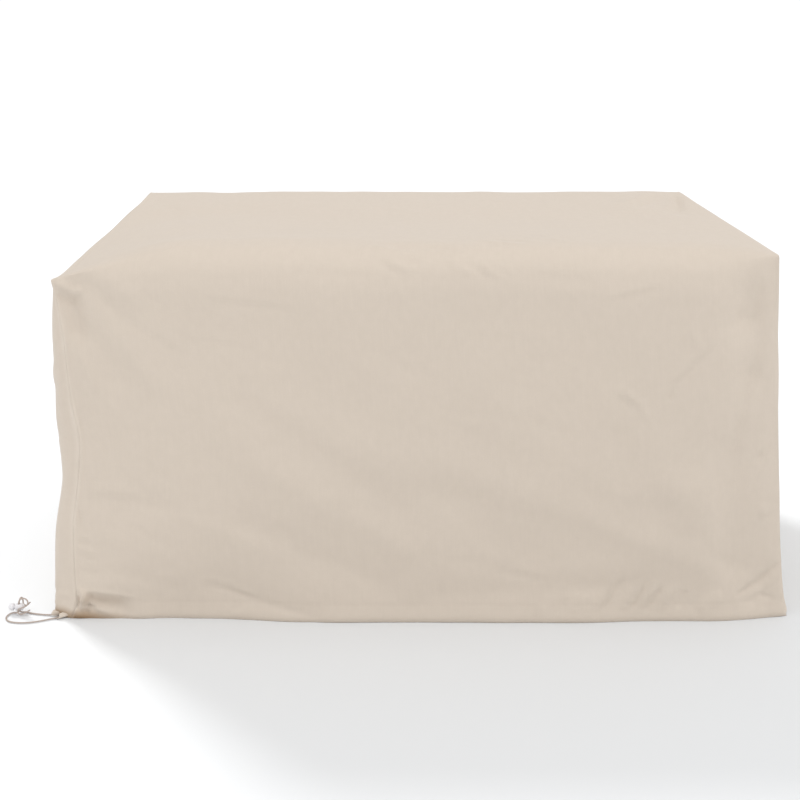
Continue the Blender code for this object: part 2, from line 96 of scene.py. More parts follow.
# One material's nodes around its Principled shader.
class Graph:
    def __init__(self, name, constants):
        self.material = bpy.data.materials.new(name)
        self.material.use_nodes = True
        self.tree = self.material.node_tree
        self.shader = self.tree.nodes["Principled BSDF"]
        for socket, value in constants.items():
            self.shader.inputs[socket].default_value = value

    # any node: its type, its settings, which are set first, and its sockets' values or links
    def node(self, kind, settings=None, values=None, output=0):
        made = self.tree.nodes.new("ShaderNode" + kind)
        for name, setting in (settings or {}).items():
            setattr(made, name, setting)
        for socket, value in (values or {}).items():
            self.put(made.inputs[socket], value)
        return Value(self, made.outputs[output])

    def put(self, socket, value):
        if isinstance(value, Value):
            self.tree.links.new(value.socket, socket)
        else:
            socket.default_value = value

    def maths(self, operation, first, second=0.0):
        return self.node("Math", {"operation": operation}, {0: first, 1: second})

    def part(self, vector, axis):
        return self.node("SeparateXYZ", None, {0: vector}, axis)

    def mix(self, factor, first, second):
        return self.node("Mix", {"data_type": "RGBA"}, {0: factor, 6: first, 7: second}, output=2)

    # noise with its own number of waves a metre along each axis
    def noise(self, place, waves, detail=2.0, roughness=0.5):
        stretched = self.node("VectorMath", {"operation": "MULTIPLY"}, {0: place, 1: waves})
        values = {"Vector": stretched, "Scale": 1.0, "Detail": detail, "Roughness": roughness}
        return self.node("TexNoise", None, values)

    def bump(self, height, distance, strength):
        return self.node("Bump", None, {"Height": height, "Distance": distance, "Strength": strength})

    def finish(self, colour, roughness, normal):
        for socket, value in (("Base Color", colour), ("Roughness", roughness), ("Normal", normal)):
            self.put(self.shader.inputs[socket], value)
        return self.material


# A grid of points (rows x columns x 3) joined into quads, with UV in metres along the cloth.
# wrap joins the last column to the first.
def gridObject(name, points, uv, material, wrap=False, flip=False, tones=None):
    rows, columns = points.shape[:2]
    index = np.arange(rows * columns).reshape(rows, columns)
    across = np.roll(index, -1, axis=1) if wrap else index[:, 1:]
    here = index if wrap else index[:, :-1]
    quads = np.stack([here[:-1], across[:-1], across[1:], here[1:]], axis=-1).reshape(-1, 4)
    if flip:
        quads = quads[:, ::-1]
    return meshObject(name, points.reshape(-1, 3), quads, uv.reshape(-1, 2), material, tones)


# Faces of one size over points; every point's own UV is copied to its corners, and its tone
# stays on the point.
def meshObject(name, points, faces, uv, material, tones=None):
    mesh = bpy.data.meshes.new(name)
    mesh.vertices.add(len(points))
    mesh.vertices.foreach_set("co", np.asarray(points, np.float32).ravel())
    corners = faces.shape[1]
    mesh.loops.add(faces.size)
    mesh.loops.foreach_set("vertex_index", faces.astype(np.int32).ravel())
    mesh.polygons.add(len(faces))
    mesh.polygons.foreach_set("loop_start", np.arange(len(faces), dtype=np.int32) * corners)
    layer = mesh.uv_layers.new(name="cloth")
    layer.data.foreach_set("uv", np.asarray(uv, np.float32)[faces.ravel()].ravel())
    if tones is not None:
        toneLayer = mesh.attributes.new("tone", "FLOAT", "POINT")
        toneLayer.data.foreach_set("value", np.asarray(tones, np.float32))
    mesh.update(calc_edges=True)
    mesh.validate()
    mesh.shade_smooth()
    made = bpy.data.objects.new(name, mesh)
    bpy.context.scene.collection.objects.link(made)
    mesh.materials.append(material)
    return made


# A wall of even thickness, half of it on each side of the surface.
def thicken(piece, thickness):
    wall = piece.modifiers.new("thickness", "SOLIDIFY")
    wall.thickness = thickness
    wall.offset = 0.0


# camera, at the photograph's viewing angle
view = {
    "place": (-0.030, -2.668, 0.302),
    "pitchDown": 8,          # degrees
    "lens": 50,
    "shiftUp": -0.19,
}
camera = bpy.data.objects.new("camera", bpy.data.cameras.new("camera"))
bpy.context.scene.collection.objects.link(camera)
camera.location = view["place"]
camera.rotation_euler = (math.radians(90 - view["pitchDown"]), 0, 0)
camera.data.lens = view["lens"]
camera.data.shift_y = view["shiftUp"]
bpy.context.scene.camera = camera
print("camera placed")


# drawcord: two free ends of one cord, through the cord lock
cord = {
    "diameter": 0.003,
    "lockX": -0.8575,
    "lockY": -0.3865,
    "strandGap": 0.0003,
    "lying": 0.0017,         # height of a strand's middle on the floor
    "finePoints": 4000,      # of the curve that a route's length is measured on
    "fixedSide": (0.36, 0.48, 0.80),     # a direction that no route runs along
    "sides": 20,
    "ringStep": 0.0005,
    "tip": 0.02,             # how far the rounded end closes, as a share of the radius
    "carriers": 6,           # yarns that wind each way round the braid
    "braidPitch": 0.0075,
    "braidDepth": 0.00016,
    "yarnWaves": (6.0, 900.0, 1.0),
    "soilWaves": (1.0, 60.0, 1.0),
    "yarnGap": (0.30, 0.235, 0.195, 1),
    "yarn": (0.66, 0.58, 0.525, 1),
    "soil": (0.40, 0.31, 0.26, 1),
    "soilShare": 0.5,
    "roughness": 0.70,
    "roughnessAdded": 0.15,
    "relief": (0.0001, 0.6),             # height in metres, strength
}
lockX = cord["lockX"]
lying = cord["lying"]
backY = cord["lockY"] + (cord["diameter"] + cord["strandGap"]) / 2
frontY = cord["lockY"] - (cord["diameter"] + cord["strandGap"]) / 2
# routes: x, y and height above the floor, from the hem to the free end
backRoute = [
    (-0.7650, -0.3975, 0.0060), (-0.7730, -0.3985, 0.0040), (-0.7830, -0.3988, 0.0023),
    (-0.7980, -0.3975, lying), (-0.8150, -0.3945, lying), (-0.8320, -0.3895, lying),
    (-0.8440, backY, lying), (-0.8515, backY, lying), (-0.8545, backY, 0.0024),
    (-0.8567, backY, 0.0046), (lockX, backY, 0.0077), (lockX, backY, 0.0100),
    (lockX, backY, 0.0190), (lockX, backY, 0.0220), (-0.8572, -0.3836, 0.0272),
    (-0.8562, -0.3796, 0.0306), (-0.8552, -0.3745, 0.0303), (-0.8545, -0.3712, 0.0262),
    (-0.8541, -0.3700, 0.0210), (-0.8540, -0.3700, 0.0165), (-0.8522, -0.3703, 0.0121),
    (-0.8480, -0.3710, 0.0102), (-0.8436, -0.3722, 0.0121), (-0.8397, -0.3740, 0.0163),
    (-0.8362, -0.3758, 0.0202),
]
frontRoute = [
    (-0.7520, -0.4065, 0.0060), (-0.7600, -0.4095, 0.0036), (-0.7700, -0.4130, 0.0020),
    (-0.7830, -0.4185, lying), (-0.7990, -0.4260, lying), (-0.8180, -0.4325, lying),
    (-0.8380, -0.4345, lying), (-0.8560, -0.4320, lying), (-0.8700, -0.4245, lying),
    (-0.8770, -0.4125, lying), (-0.8775, -0.4000, lying), (-0.8735, -0.3915, lying),
    (-0.8690, frontY, lying), (-0.8635, frontY, lying), (-0.8605, frontY, 0.0024),
    (-0.8583, frontY, 0.0046), (lockX, frontY, 0.0077), (lockX, frontY, 0.0100),
    (lockX, frontY, 0.0190), (lockX, frontY, 0.0220), (-0.8562, -0.3884, 0.0280),
    (-0.8516, -0.3892, 0.0334), (-0.8450, -0.3905, 0.0355), (-0.8385, -0.3925, 0.0335),
    (-0.8350, -0.3948, 0.0280), (-0.8372, -0.3966, 0.0222), (-0.8440, -0.3978, 0.0187),
    (-0.8500, -0.3984, 0.0163), (-0.8545, -0.3988, 0.0144), (-0.8563, -0.3990, 0.0100),
    (-0.8545, -0.3992, 0.0056), (-0.8500, -0.3992, 0.0037), (-0.8420, -0.3985, 0.0058),
    (-0.8300, -0.3965, 0.0122),
]


# Curve through a route's own points at the places asked for; its slopes are central differences.
def routeCurve(route, places, fine):
    slopes = np.gradient(route, places, axis=0)
    columns = [hermite(places, values, slope, fine) for values, slope in zip(route.T, slopes.T)]
    return np.stack(columns, axis=1)


# Evenly spaced points along a route's curve, and how far along it each is.
def smoothPath(route, step):
    route = np.array(route) - (0, 0, floorToTop)
    places = np.concatenate(([0.0], np.cumsum(np.linalg.norm(np.diff(route, axis=0), axis=1))))
    curve = routeCurve(route, places, np.linspace(0, places[-1], cord["finePoints"]))
    length = np.concatenate(([0.0], np.cumsum(np.linalg.norm(np.diff(curve, axis=0), axis=1))))
    spots = np.linspace(0, length[-1], round(length[-1] / step) + 1)
    return np.stack([np.interp(spots, length, curve[:, axis]) for axis in range(3)], axis=1), spots


# Two unit vectors across a path at each of its points, with no twist: a fixed direction is laid
# flat on each ring, and the turn from ring to ring that this adds is summed and taken out again.
def pathFrames(path, fixed):
    tangent = np.gradient(path, axis=0)
    tangent /= np.linalg.norm(tangent, axis=1, keepdims=True)
    side = fixed - (tangent @ fixed)[:, None] * tangent
    side /= np.linalg.norm(side, axis=1, keepdims=True)
    up = np.cross(tangent, side)
    carried = side[:-1] - (side[:-1] * tangent[1:]).sum(1, keepdims=True) * tangent[1:]
    turn = np.arctan2((carried * up[1:]).sum(1), (carried * side[1:]).sum(1))
    angle = np.concatenate(([0.0], np.cumsum(turn)))[:, None]
    return np.cos(angle) * side + np.sin(angle) * up, np.cos(angle) * up - np.sin(angle) * side


# A braided tube: at angle a and length s its radius is r - depth x (1 - ridge), where ridge is
# the higher of two sets of yarns, |sin(n a + k s)| and |sin(n a - k s)|; both ends are rounded by
# sqrt(1 - t^2).
def braidedCord(name, route, material):
    path, spots = smoothPath(route, cord["ringStep"])
    side, up = pathFrames(path, np.array(cord["fixedSide"]))
    angle = np.linspace(0, 2 * np.pi, cord["sides"], endpoint=False)
    wind = np.pi * spots[:, None] / cord["braidPitch"] * 2
    half = cord["carriers"] / 2
    ridge = np.maximum(np.abs(np.sin(half * angle + wind)), np.abs(np.sin(half * angle - wind)))
    radius = cord["diameter"] / 2
    toEnd = np.clip(1 - (spots[-1] - spots) / radius, 0, 1)
    toStart = np.clip(1 - spots / radius, 0, 1)
    cap = np.sqrt(np.clip(1 - np.maximum(toEnd, toStart) ** 2, cord["tip"] ** 2, 1))
    ring = (radius - cord["braidDepth"] * (1 - ridge)) * cap[:, None]
    points = (path[:, None] + ring[..., None] * (np.cos(angle)[:, None] * side[:, None]
                                                 + np.sin(angle)[:, None] * up[:, None]))
    uv = np.stack(np.broadcast_arrays(angle / (2 * np.pi), spots[:, None]), axis=-1)
    made = gridObject(name, points, uv, material, wrap=True, flip=True)
    closeEnds(made, len(path), cord["sides"])
    return made, path, spots[-1]


# One many-sided face over the first ring and one over the last.
def closeEnds(piece, rings, sides):
    mesh = piece.data
    first = list(range(sides))
    last = list(range((rings - 1) * sides, rings * sides))
    count, corners = len(mesh.polygons), len(mesh.loops)
    mesh.polygons.add(2)
    mesh.loops.add(2 * sides)
    allCorners = np.empty(corners + 2 * sides, np.int32)
    mesh.loops.foreach_get("vertex_index", allCorners)
    allCorners[corners:] = first + last[::-1]
    mesh.loops.foreach_set("vertex_index", allCorners)
    starts = np.empty(count + 2, np.int32)
    mesh.polygons.foreach_get("loop_start", starts)
    starts[count:] = (corners, corners + sides)
    mesh.polygons.foreach_set("loop_start", starts)
    mesh.update(calc_edges=True)
    mesh.validate()


# Braid: yarns and the gaps between them as noise drawn out round the cord, and soiled stretches.
def makeCordMaterial():
    graph = Graph("braided_cord", {"Specular IOR Level": 0.3})
    uv = graph.node("UVMap", {"uv_map": "cloth"})
    yarn = graph.noise(uv, cord["yarnWaves"], 3.0)
    soil = graph.noise(uv, cord["soilWaves"], 1.0)
    colour = graph.mix(yarn, cord["yarnGap"], cord["yarn"])
    colour = graph.mix(soil * cord["soilShare"], colour, cord["soil"])
    rough = cord["roughness"] + yarn * cord["roughnessAdded"]
    return graph.finish(colour, rough, graph.bump(yarn, *cord["relief"]))


cordMaterial = makeCordMaterial()
backCord, backPath, backLength = braidedCord("drawcord_end_back", backRoute, cordMaterial)
frontCord, frontPath, frontLength = braidedCord("drawcord_end_front", frontRoute, cordMaterial)
print("drawcord ends:", round(backLength, 3), "and", round(frontLength, 3), "m")


# cloth: the run of the body panel between its seams, in rows from the front hem over the top to
# the back hem; heights are above the floor
sectionColumns = "leftX leftY leftZ midY midZ rightX rightY rightZ".split()
sections = np.array([
    (-0.734, -0.409, 0.000, -0.430, 0.000, 0.804, -0.397, 0.000),   # front hem
    (-0.722, -0.407, 0.040, -0.428, 0.040, 0.795, -0.397, 0.040),   # hem channel
    (-0.726, -0.403, 0.112, -0.424, 0.112, 0.788, -0.394, 0.112),   # front foot
    (-0.725, -0.401, 0.200, -0.421, 0.200, 0.782, -0.392, 0.200),   # front shin
    (-0.712, -0.400, 0.300, -0.419, 0.300, 0.776, -0.391, 0.300),   # front knee
    (-0.705, -0.400, 0.385, -0.417, 0.385, 0.771, -0.391, 0.385),   # front waist
    (-0.719, -0.402, 0.485, -0.415, 0.485, 0.765, -0.392, 0.485),   # front chest
    (-0.727, -0.406, 0.605, -0.413, 0.600, 0.758, -0.395, 0.605),   # front high
    (-0.738, -0.411, 0.698, -0.412, 0.704, 0.754, -0.398, 0.718),   # shoulder
    (-0.742, -0.414, 0.720, -0.405, 0.751, 0.753, -0.397, 0.757),   # under the roll
    (-0.745, -0.418, 0.738, -0.388, 0.781, 0.752, -0.396, 0.785),   # brow
    (-0.736, -0.394, 0.742, -0.360, 0.799, 0.751, -0.374, 0.788),   # over the roll
    (-0.731, -0.362, 0.748, -0.318, 0.806, 0.750, -0.348, 0.790),   # top front
    (-0.729, -0.190, 0.769, -0.150, 0.812, 0.751, -0.180, 0.801),   # top forward
    (-0.721, 0.015, 0.794, 0.020, 0.821, 0.749, 0.015, 0.815),      # top middle
    (-0.714, 0.240, 0.828, 0.240, 0.837, 0.743, 0.240, 0.834),      # top rear
    (-0.718, 0.400, 0.845, 0.392, 0.848, 0.739, 0.398, 0.847),      # back brow
    (-0.730, 0.426, 0.800, 0.428, 0.808, 0.738, 0.425, 0.806),      # back shoulder
    (-0.744, 0.425, 0.640, 0.434, 0.640, 0.742, 0.423, 0.640),      # back high
    (-0.753, 0.426, 0.400, 0.437, 0.400, 0.752, 0.424, 0.400),      # back waist
    (-0.763, 0.430, 0.160, 0.441, 0.160, 0.764, 0.428, 0.160),      # back foot
    (-0.768, 0.434, 0.000, 0.445, 0.000, 0.770, 0.432, 0.000),      # back hem
])
section = dict(zip(sectionColumns, sections.T))
midSteps = np.hypot(np.diff(section["midY"]), np.diff(section["midZ"]))
places = np.concatenate(([0.0], np.cumsum(midSteps)))
runLength = places[-1]
browRow, backBrowRow = 10, 16       # where the side panels' top edges start and end
frontCorner, backCorner = places[browRow], places[backBrowRow]

cloth = {
    "thickness": 0.0018,
    "leftReach": 0.290,      # how far each seam's own line shapes the body panel
    "rightReach": 0.170,
    "broadEdge": (0.0, 0.045),           # broad folds die away between these distances from a seam
    "creaseEdge": (-0.001, 0.007),       # and creases between these
    "seamRidge": 0.0012,     # the seam's allowance makes a low round ridge
    "seamWidth": 0.0032,
}

# broad folds, in millimetres: from a to b, half width, height
broadFolds = {
    "front": [
        (-712, 700, -704, 630, 26, -12), (-684, 730, -600, 648, 26, -5),
        (-662, 615, -618, 520, 30, -4), (-592, 610, -540, 520, 34, 4),
        (-690, 258, -540, 252, 28, -2), (-370, 480, -40, 255, 32, -3),
        (-330, 345, -20, 158, 34, 3.5), (-360, 215, -70, 78, 32, -4), (-270, 440, 10, 345, 50, 3),
        (60, 345, 300, 255, 40, 3), (80, 275, 280, 120, 44, -2), (360, 235, 640, 110, 30, 3),
        (420, 400, 520, 250, 40, -4), (500, 300, 590, 280, 40, 4), (708, 530, 684, 430, 30, -5),
        (676, 365, 684, 130, 50, -11), (700, 704, 696, 660, 34, -9), (698, 650, 704, 540, 38, -6),
        (726, 50, 774, 100, 22, -6), (-430, 74, -220, 13, 26, -3), (-704, 26, -630, 22, 24, -10),
        (60, 62, 480, 80, 24, -2.5), (-500, 0, -440, 0, 130, -21), (540, 0, 700, 0, 130, -7),
    ],
    "top": [
        (-560, -330, -140, -290, 50, 4), (-30, -362, 60, -378, 26, -4), (712, 330, 660, 80, 30, -5),
        (600, 300, 560, 120, 45, 4), (-300, -20, 300, 0, 160, -6), (-600, 60, -450, 100, 100, -7),
    ],
    "back": [
        (-560, 620, -420, 150, 60, -8), (-120, 560, 40, 120, 65, 8), (360, 650, 480, 220, 55, -8),
        (640, 700, 600, 480, 45, 7),
    ],
    "left": [
        (-230, 600, -200, 150, 45, -9), (20, 560, 60, 60, 50, 9), (260, 640, 230, 240, 50, -8),
    ],
    "right": [
        (-210, 560, -240, 120, 45, -8), (40, 640, 0, 200, 50, 9), (280, 520, 260, 60, 50, -8),
    ],
}

# creases placed one by one, in millimetres: the points of a line, half width, height
creases = {
    "front": [
        # the left corner's flap, and the hollow and the long crease that start under it
        ([(-742, 736), (-722, 724), (-702, 712), (-690, 724)], 10, 9.0),
        ([(-738, 706), (-720, 694), (-700, 690)], 9, -4.5),
        ([(-724, 700), (-712, 660), (-706, 615)], 16, -4.5),
        ([(-700, 756), (-650, 706), (-606, 660)], 14, -1.5),
        ([(-612, 664), (-540, 617), (-470, 572)], 6, -1.3),
        ([(-600, 668), (-535, 628), (-478, 594)], 9, 0.8),
        ([(-645, 745), (-600, 716), (-566, 696)], 14, 1.6),
        ([(-570, 712), (-543, 698), (-512, 684)], 7, -1.2),
        ([(-432, 692), (-318, 681), (-235, 668)], 8, -1.0),
        ([(-432, 708), (-320, 697), (-240, 685)], 9, 0.7),
        ([(-469, 609), (-400, 602), (-340, 588)], 7, -1.3),
        ([(-664, 618), (-640, 580), (-615, 538)], 13, -1.5),
        ([(-610, 600), (-575, 555), (-540, 505)], 13, 1.6),
        ([(-700, 590), (-680, 545), (-664, 490)], 14, 2.6),
        # beside the left seam
        ([(-702, 262), (-650, 268), (-600, 262), (-500, 244)], 10, -1.2),
        ([(-692, 280), (-640, 284), (-590, 278)], 11, 1.3),
        ([(-716, 242), (-710, 214), (-714, 196)], 5, -3.0),
        ([(-718, 182), (-704, 180), (-690, 173)], 5, 2.0),
        ([(-718, 172), (-702, 170), (-680, 160)], 5, -1.8),
        ([(-721, 153), (-704, 150), (-684, 141)], 5, 2.2),
        ([(-721, 143), (-702, 139), (-676, 126)], 5, -1.9),
        ([(-720, 110), (-700, 104), (-672, 92)], 7, -2.4),
        ([(-690, 185), (-650, 182), (-600, 172)], 14, 1.6),
        ([(-700, 118), (-600, 94), (-490, 66)], 14, -1.5),
        ([(-502, 232), (-400, 196), (-330, 166), (-247, 138)], 16, 1.6),
        ([(-340, 190), (-280, 176), (-190, 150)], 12, 1.2),
        # the wedge at the hem
        ([(-455, 82), (-400, 66), (-338, 44)], 6, -2.4),
        ([(-450, 92), (-390, 76), (-330, 56)], 8, 1.6),
        ([(-345, 47), (-280, 28), (-200, 10)], 8, -1.4),
        ([(-352, 34), (-365, 20), (-385, 8)], 6, 1.8),
        ([(169, 112), (225, 102), (289, 92)], 6, -2.0),
        # streaks where the hem is gathered at the right
        ([(432, 100), (404, 52), (388, 24)], 5, 4.2),
        ([(446, 98), (420, 56), (402, 26)], 5, -3.4),
        ([(482, 88), (462, 50), (448, 24)], 5, 4.6),
        ([(496, 86), (476, 50), (462, 24)], 5, -3.6),
        ([(520, 84), (494, 46), (480, 20)], 5, 4.4),
        ([(534, 82), (510, 46), (494, 20)], 5, -3.4),
        ([(556, 78), (536, 48), (520, 22)], 6, 3.4),
        ([(272, 44), (262, 14)], 6, 2.4),
        ([(360, 64), (342, 22)], 7, 2.4),
        ([(320, 54), (306, 18)], 6, -2.0),
        ([(580, 70), (566, 26)], 7, -2.2),
        ([(300, 82), (420, 78), (520, 98)], 12, -1.1),
        # right part: a fine ridge up to the right corner, small wrinkles, the bend beside the edge
        ([(527, 514), (560, 548), (600, 590), (639, 632)], 5, 2.2),
        ([(535, 508), (570, 543), (610, 586)], 6, -1.6),
        ([(429, 504), (482, 468)], 5, 3.2),
        ([(420, 496), (474, 460)], 5, -2.2),
        ([(455, 480), (492, 446)], 5, 2.4),
        ([(531, 500), (539, 488)], 6, -3.4),
        ([(756, 690), (738, 615), (716, 514), (698, 420), (696, 330)], 14, 1.8),
        ([(742, 668), (718, 585), (696, 495), (676, 400), (668, 330)], 14, -1.9),
        ([(656, 400), (650, 290), (664, 160)], 26, -2.0),
        ([(722, 352), (740, 362)], 7, -3.6),
        ([(735, 255), (748, 225)], 9, 3.4),
        ([(786, 120), (750, 86), (690, 52)], 6, -4.0),
        ([(790, 106), (760, 74), (710, 42)], 7, 2.8),
        ([(745, 50), (775, 44)], 6, -2.6),
        ([(605, 24), (660, 60)], 16, 3.2),
        ([(401, 693), (455, 708), (510, 720)], 7, -1.8),
        ([(398, 703), (455, 718), (508, 731)], 8, 1.3),
        ([(560, 640), (600, 590)], 9, 1.5),
        # the pinch in the middle of the roll, and the diagonals right of it
        ([(-80, 776), (-50, 760), (-18, 752)], 6, -2.4),
        ([(-66, 784), (-36, 766), (4, 758)], 6, 2.8),
        ([(-46, 788), (-12, 774), (16, 770)], 5, -2.8),
        ([(-50, 764), (-30, 742), (-20, 726)], 6, -1.6),
        ([(60, 782), (92, 764), (118, 746)], 6, 2.6),
        ([(108, 776), (140, 752), (172, 732)], 6, -2.2),
        ([(122, 780), (154, 756), (186, 738)], 6, 2.2),
        ([(140, 778), (170, 758), (200, 742)], 6, -1.8),
        ([(-300, 748), (-200, 752), (-90, 742)], 10, -1.6),
        ([(220, 756), (300, 738), (380, 730)], 12, -1.6),
        # the hem's left corner, gathered by the drawcord into a cone under the end of the seam
        ([(-722, 64), (-700, 62), (-660, 58), (-600, 48)], 5, 2.2),
        ([(-708, 40), (-680, 35), (-620, 30)], 14, -3.6),
        ([(-718, 62), (-704, 40), (-682, 24), (-645, 12)], 7, 6.5),
        ([(-724, 50), (-719, 38), (-722, 26)], 4, -6.0),
        ([(-716, 46), (-709, 38), (-712, 28)], 4, 4.0),
        ([(-726, 66), (-710, 58), (-702, 42)], 4, 5.0),
        ([(-707, 64), (-711, 42), (-720, 14)], 6, 6.0),
        ([(-696, 56), (-699, 36), (-708, 12)], 5, -4.5),
        ([(-712, 36), (-700, 26), (-684, 24)], 4, -4.5),
        ([(-730, 34), (-716, 20), (-696, 10)], 5, -5.0),
        ([(-736, 28), (-728, 14), (-718, 4)], 4, 4.5),
    ],
    "top": [
        # behind the roll
        ([(130, -320), (230, -352)], 7, 2.6),
        ([(160, -300), (250, -335)], 6, -2.2),
        ([(235, -270), (313, -310)], 8, 2.2),
        ([(250, -250), (340, -290)], 9, -2.0),
        ([(-110, -340), (-40, -372), (20, -380)], 8, 2.2),
        ([(20, -350), (100, -376)], 6, -2.0),
        # the light thin crease at the back right corner, and its fan
        ([(700, 350), (676, 240), (640, 120)], 9, 5.2),
        ([(716, 330), (698, 220), (668, 100)], 10, -4.6),
        ([(672, 350), (624, 220), (560, 110)], 12, -3.6),
        ([(650, 350), (590, 240), (510, 140)], 14, 3.6),
        ([(-700, 300), (-620, 180), (-560, 20)], 16, -2.4),
    ],
    "left": [
        # the hem's gathered corner
        ([(-404, 60), (-394, 36), (-380, 12)], 5, 6.0),
        ([(-398, 46), (-388, 24), (-374, 6)], 5, -5.5),
        ([(-394, 66), (-376, 42), (-356, 18)], 7, -4.0),
        ([(-386, 52), (-366, 28), (-348, 8)], 6, 4.0),
        # the left side's slack strip behind its seam
        ([(-380, 520), (-372, 480), (-376, 440)], 9, -4.0),
        ([(-386, 560), (-370, 530), (-350, 500)], 7, 3.0),
        ([(-392, 420), (-376, 400), (-356, 390)], 7, -3.0),
    ],
    "back": [],
    "right": [],
}


# A column of the section table at a distance along the run.
def along(name, at):
    return curveThrough(places, section[name], at)


# A point of the left or right seam at a distance along the run.
def seamLine(side, at):
    return np.stack([along(side + "X", at), along(side + "Y", at), along(side + "Z", at)], axis=-1)


# Body panel without folds: straight from seam to seam, with the middle's own y and z and a
# part (1 - distance / reach)^2 of each seam's difference from them.
def bodySurface(across, at):
    left, right = seamLine("left", at), seamLine("right", at)
    width = right[..., 0] - left[..., 0]
    nearLeft = np.clip(1 - across * width / cloth["leftReach"], 0, 1) ** 2
    nearRight = np.clip(1 - (1 - across) * width / cloth["rightReach"], 0, 1) ** 2
    midY, midZ = along("midY", at), along("midZ", at)
    x = left[..., 0] + across * width
    y = midY + (left[..., 1] - midY) * nearLeft + (right[..., 1] - midY) * nearRight
    z = midZ + (left[..., 2] - midZ) * nearLeft + (right[..., 2] - midZ) * nearRight
    return np.stack([x, y, z], axis=-1)


sidePanel = {
    "depth": 0.84,           # nominal sizes, which its points are spaced by
    "tall": 0.82,
    "turn": 0.008,           # how soon it swells out behind its front seam at the floor
    "turnAdded": 0.010,      # what is added to that higher up
    "turnChange": (0.01, 0.12),          # and between which shares of its height
    "backFade": 5,           # powers by which the swell fades towards the back and top seams
    "topFade": 30,
}

# how far out the side panels swell: height above the floor, left, right
swell = np.array([
    (0.00, 0.779, 0.807),
    (0.08, 0.788, 0.801),
    (0.16, 0.783, 0.794),
    (0.27, 0.765, 0.787),
    (0.30, 0.762, 0.785),
    (0.34, 0.765, 0.783),
    (0.38, 0.769, 0.780),
    (0.43, 0.771, 0.777),
    (0.52, 0.767, 0.772),
    (0.62, 0.765, 0.766),
    (0.72, 0.757, 0.760),
    (0.85, 0.740, 0.751),
])


# Side panel without folds: a patch stretched between the front, back and top seams and the
# floor, then moved out to the swell by 1 - exp(-distance from the front seam / turn), where the
# turn is tight at the floor, times 1 - share^fade towards the back seam and the top one.
def sideSurface(side, back, up):
    sign = -1.0 if side == "left" else 1.0
    frontEdge = seamLine(side, up * frontCorner)
    backEdge = seamLine(side, runLength + up * (backCorner - runLength))
    topEdge = seamLine(side, frontCorner + back * (backCorner - frontCorner))
    corners = seamLine(side, np.array([0.0, runLength, frontCorner, backCorner]))
    q, t = back[..., None], up[..., None]
    hemEdge = (1 - q) * corners[0] + q * corners[1]
    point = ((1 - q) * frontEdge + q * backEdge + (1 - t) * hemEdge + t * topEdge
             - (1 - q) * (1 - t) * corners[0] - q * (1 - t) * corners[1]
             - (1 - q) * t * corners[2] - q * t * corners[3])
    out = curveThrough(swell[:, 0], swell[:, 1 if side == "left" else 2], point[..., 2])
    depth = corners[1][1] - corners[0][1]
    turn = sidePanel["turn"] + sidePanel["turnAdded"] * softStep(up, *sidePanel["turnChange"])
    rise = 1 - np.exp(-back * depth / turn)
    rise *= (1 - back ** sidePanel["backFade"]) * (1 - up ** sidePanel["topFade"])
    point[..., 0] += sign * np.maximum(out - np.abs(point[..., 0]), 0.0) * rise
    return point


# Unit normals: the cross product of the surface's slopes along u and v, by central differences.
def outwardNormals(surface, u, v):
    step = 1e-4
    alongU = surface(u + step, v) - surface(u - step, v)
    alongV = surface(u, v + step) - surface(u, v - step)
    normal = np.cross(alongU, alongV)
    return normal / np.linalg.norm(normal, axis=-1, keepdims=True)


# which way each face looks, and the two axes that its folds' lines are drawn on
faceDirections = {
    "front": ((0, -1, 0), 0, 2), "back": ((0, 1, 0), 0, 2), "top": ((0, 0, 1), 0, 1),
    "left": ((-1, 0, 0), 1, 2), "right": ((1, 0, 0), 1, 2),
}


# Distance of flat points from a broken line, and the share of its length where each is nearest.
def nearLine(flat, line):
    steps = np.diff(line, axis=0)
    lengths = np.linalg.norm(steps, axis=1)
    starts = np.concatenate(([0.0], np.cumsum(lengths)[:-1]))
    toPoints = flat[:, None] - line[None, :-1]
    share = np.clip((toPoints * steps).sum(-1) / lengths ** 2, 0, 1)
    distance = np.linalg.norm(toPoints - share[..., None] * steps, axis=-1)
    nearest = distance.argmin(1)
    row = np.arange(len(flat))
    reached = starts[nearest] + share[row, nearest] * lengths[nearest]
    return distance[row, nearest], reached / lengths.sum()


# A fold's bell: exp(-(distance / width)^2), where the cloth faces the fold's own way; and the
# share of its length where each point is nearest. Its line and width are in millimetres.
def foldBell(points, outward, face, line, width):
    direction, u, v = faceDirections[face]
    distance, share = nearLine(points[:, [u, v]], np.array(line) * millimetre)
    facing = np.clip(outward @ np.array(direction), 0, 1)
    return np.exp(-(distance / (width * millimetre)) ** 2) * facing, share


# Broad folds: height x bell, along straight lines.
def broadHeights(points, outward, faces):
    height = np.zeros(len(points))
    for face in faces:
        for ax, ay, bx, by, width, tall in broadFolds[face]:
            bell, share = foldBell(points, outward, face, [(ax, ay), (bx, by)], width)
            height += tall * millimetre * bell
    return height


# A crease's line rounded by a curve through its points, with four steps from each to the next.
def roundedLine(line):
    line = np.array(line)
    if len(line) < 3:
        return line
    spots = np.arange(len(line), dtype=float)
    return routeCurve(line, spots, np.linspace(0, spots[-1], 4 * (len(line) - 1) + 1))


# Creases: height x bell x (1 - (2 share - 1)^4), so that both ends run out.
def creaseHeights(points, outward, faces):
    height = np.zeros(len(points))
    for face in faces:
        for line, width, tall in creases[face] + strewn[face]:
            bell, share = foldBell(points, outward, face, roundedLine(line), width)
            height += tall * millimetre * bell * (1 - (2 * share - 1) ** 4)
    return height


